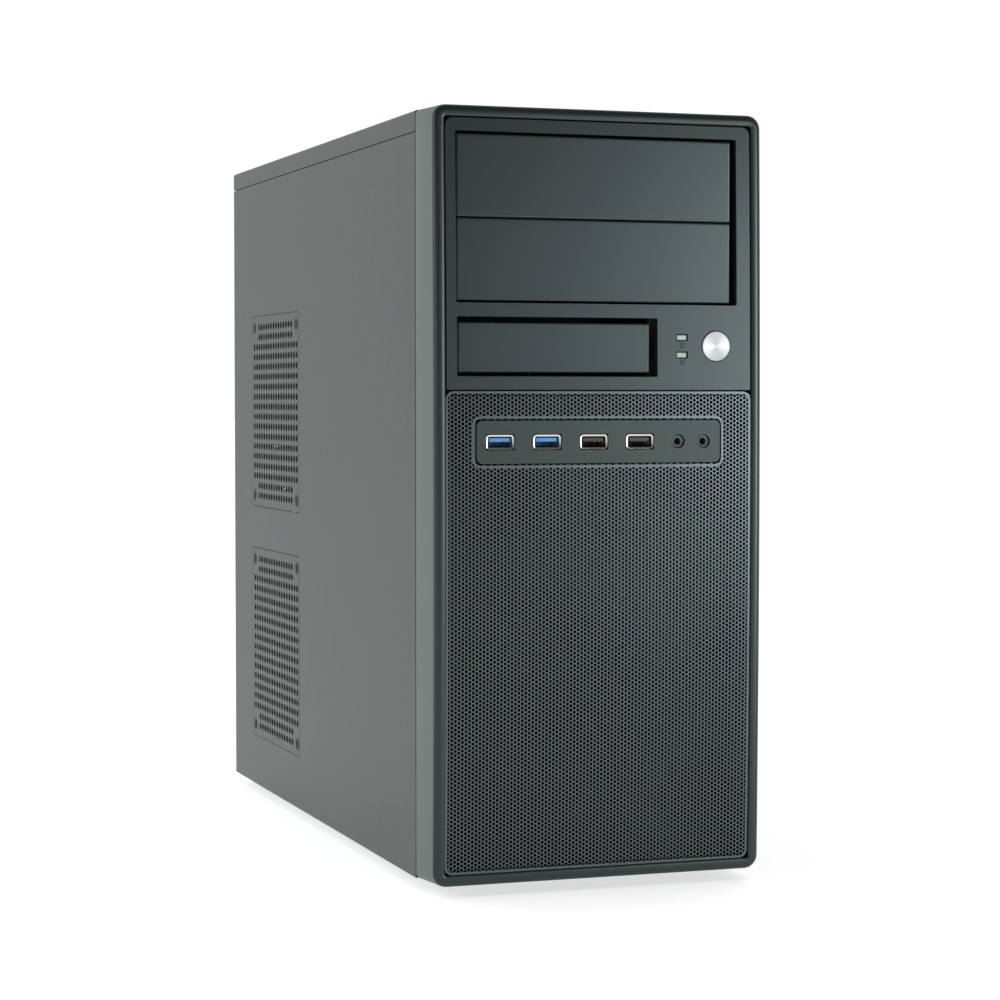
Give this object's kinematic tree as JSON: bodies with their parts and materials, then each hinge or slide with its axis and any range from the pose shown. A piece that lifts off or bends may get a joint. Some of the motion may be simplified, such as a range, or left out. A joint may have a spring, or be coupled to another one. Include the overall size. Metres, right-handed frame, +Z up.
{
  "type": "desktop computer tower",
  "caption": "Slim micro-ATX desktop computer tower: steel case, black plastic front with blank drive covers, port strip, round power button and mesh intake.",
  "frame": {"origin": "centre of the overall footprint, at the level of the feet's undersides", "axes": "+Z up, -Y towards the front with the power button, +X to the right seen from the front"},
  "size_m": [0.177, 0.439, 0.396],
  "materials": {
    "zinc_steel": "zinc-plated sheet, satin",
    "painted_steel": "fine satin powder coat, black",
    "front_plastic": "satin moulded plastic, black",
    "mesh_steel": "perforated sheet, satin black",
    "panel_plastic": "satin moulded plastic, dark grey",
    "nickel": "nickel plate",
    "blue_plastic": "satin",
    "black_plastic": "satin",
    "cream_plastic": "satin",
    "lens_plastic": "milky, smooth",
    "button_metal": "spun face",
    "rubber": "matt",
    "green_board": "solder-resist green, smooth",
    "alloy": "extruded, satin",
    "cast_alloy": "die-cast, matt",
    "brass": "turned",
    "fan_plastic": "smooth",
    "cable_black": "flexible cable jacket, satin",
    "cable_red": "flexible cable jacket, satin",
    "screw_steel": "zinc-plated",
    "dark_steel": "black zinc"
  },
  "bodies": {
    "chassis": {"base_plate": "zinc_steel", "front_plate": "dark_steel", "rear_panel": "zinc_steel", "board_tray": "zinc_steel", "top_cover": "painted_steel", "bay_cage": "dark_steel", "drive_cage": "dark_steel", "feet": "rubber", "io_shield": "nickel", "slot_covers": "zinc_steel", "case_screws": "screw_steel", "standoffs": "brass", "motherboard": "green_board", "cpu_socket": "cream_plastic", "heatsink": "alloy", "cooler_frame": "fan_plastic", "dimm_slots": "black_plastic", "memory_modules": "green_board", "pcie_slots": "black_plastic", "chipset_heatsink": "alloy", "rear_ports": "nickel", "board_sockets": "cream_plastic", "psu_case": "zinc_steel", "psu_fan_frame": "fan_plastic", "psu_guard": "nickel", "power_inlet": "black_plastic", "rear_fan_frame": "fan_plastic", "hdd_case": "cast_alloy", "hdd_lid": "alloy", "hdd_board": "green_board", "front_io_board": "green_board", "usb_shells": "nickel", "usb_tongues_blue": "blue_plastic", "usb_tongues_black": "black_plastic", "audio_jacks": "panel_plastic", "power_switch": "black_plastic", "power_cables": "cable_black", "sata_cable": "cable_red", "front_cables": "cable_black"},
    "bezel": {"bezel_frame": "front_plastic", "bezel_face": "front_plastic", "mesh_grille": "mesh_steel", "port_panel": "panel_plastic", "led_lenses": "lens_plastic"},
    "bay_cover_top": {"bay_cover_top": "front_plastic"},
    "bay_cover_middle": {"bay_cover_middle": "front_plastic"},
    "bay_cover_small": {"bay_cover_small": "front_plastic"},
    "power_button": {"power_button": "button_metal"},
    "left_panel": {"left_panel": "painted_steel"},
    "right_panel": {"right_panel": "painted_steel"},
    "thumb_screw_left_top": {"thumb_screw_left_top": "dark_steel"},
    "thumb_screw_left_low": {"thumb_screw_left_low": "dark_steel"},
    "thumb_screw_right_top": {"thumb_screw_right_top": "dark_steel"},
    "thumb_screw_right_low": {"thumb_screw_right_low": "dark_steel"},
    "rear_fan_rotor": {"rear_fan_rotor": "fan_plastic"},
    "psu_fan_rotor": {"psu_fan_rotor": "fan_plastic"},
    "cpu_fan_rotor": {"cpu_fan_rotor": "fan_plastic"},
    "rocker_switch": {"rocker_switch": "black_plastic"},
    "dimm_latches_top": {"dimm_latches_top": "cream_plastic"},
    "dimm_latches_low": {"dimm_latches_low": "cream_plastic"}
  },
  "joints": [
    {"name": "left_panel_slide", "type": "slide", "parent": "chassis", "child": "left_panel", "axis": [0, 1, 0], "range_m": [0, 0.42]},
    {"name": "right_panel_slide", "type": "slide", "parent": "chassis", "child": "right_panel", "axis": [0, 1, 0], "range_m": [0, 0.42]},
    {"name": "thumb_screw_left_top_out", "type": "slide", "parent": "left_panel", "child": "thumb_screw_left_top", "axis": [0, 1, 0], "range_m": [0, 0.007]},
    {"name": "thumb_screw_left_low_out", "type": "slide", "parent": "left_panel", "child": "thumb_screw_left_low", "axis": [0, 1, 0], "range_m": [0, 0.007]},
    {"name": "thumb_screw_right_top_out", "type": "slide", "parent": "right_panel", "child": "thumb_screw_right_top", "axis": [0, 1, 0], "range_m": [0, 0.007]},
    {"name": "thumb_screw_right_low_out", "type": "slide", "parent": "right_panel", "child": "thumb_screw_right_low", "axis": [0, 1, 0], "range_m": [0, 0.007]},
    {"name": "bezel_pull", "type": "slide", "parent": "chassis", "child": "bezel", "axis": [0, -1, 0], "range_m": [0, 0.06]},
    {"name": "bay_cover_top_pull", "type": "slide", "parent": "bezel", "child": "bay_cover_top", "axis": [0, -1, 0], "range_m": [0, 0.03]},
    {"name": "bay_cover_middle_pull", "type": "slide", "parent": "bezel", "child": "bay_cover_middle", "axis": [0, -1, 0], "range_m": [0, 0.03]},
    {"name": "bay_cover_small_pull", "type": "slide", "parent": "bezel", "child": "bay_cover_small", "axis": [0, -1, 0], "range_m": [0, 0.03]},
    {"name": "power_button_press", "type": "slide", "parent": "bezel", "child": "power_button", "axis": [0, 1, 0], "range_m": [0, 0.0018], "stiffness_N_per_m": 600},
    {"name": "rear_fan_spin", "type": "hinge", "parent": "chassis", "child": "rear_fan_rotor", "pos_m": [-0.031, 0.2012, 0.213], "axis": [0, 1, 0], "continuous": true},
    {"name": "psu_fan_spin", "type": "hinge", "parent": "chassis", "child": "psu_fan_rotor", "pos_m": [-0.026, 0.2004, 0.347], "axis": [0, 1, 0], "continuous": true},
    {"name": "cpu_fan_spin", "type": "hinge", "parent": "chassis", "child": "cpu_fan_rotor", "pos_m": [0.0053, 0.1145, 0.222], "axis": [1, 0, 0], "continuous": true},
    {"name": "rocker_switch_tilt", "type": "hinge", "parent": "chassis", "child": "rocker_switch", "pos_m": [0.044, 0.2109, 0.327], "axis": [1, 0, 0], "range_deg": [0, 20]},
    {"name": "dimm_latches_top_tilt", "type": "hinge", "parent": "chassis", "child": "dimm_latches_top", "pos_m": [0.0545, 0.0195, 0.2784], "axis": [0, 1, 0], "range_deg": [0, 30]},
    {"name": "dimm_latches_low_tilt", "type": "hinge", "parent": "chassis", "child": "dimm_latches_low", "pos_m": [0.0545, 0.0195, 0.1336], "axis": [0, -1, 0], "range_deg": [0, 30]}
  ]
}
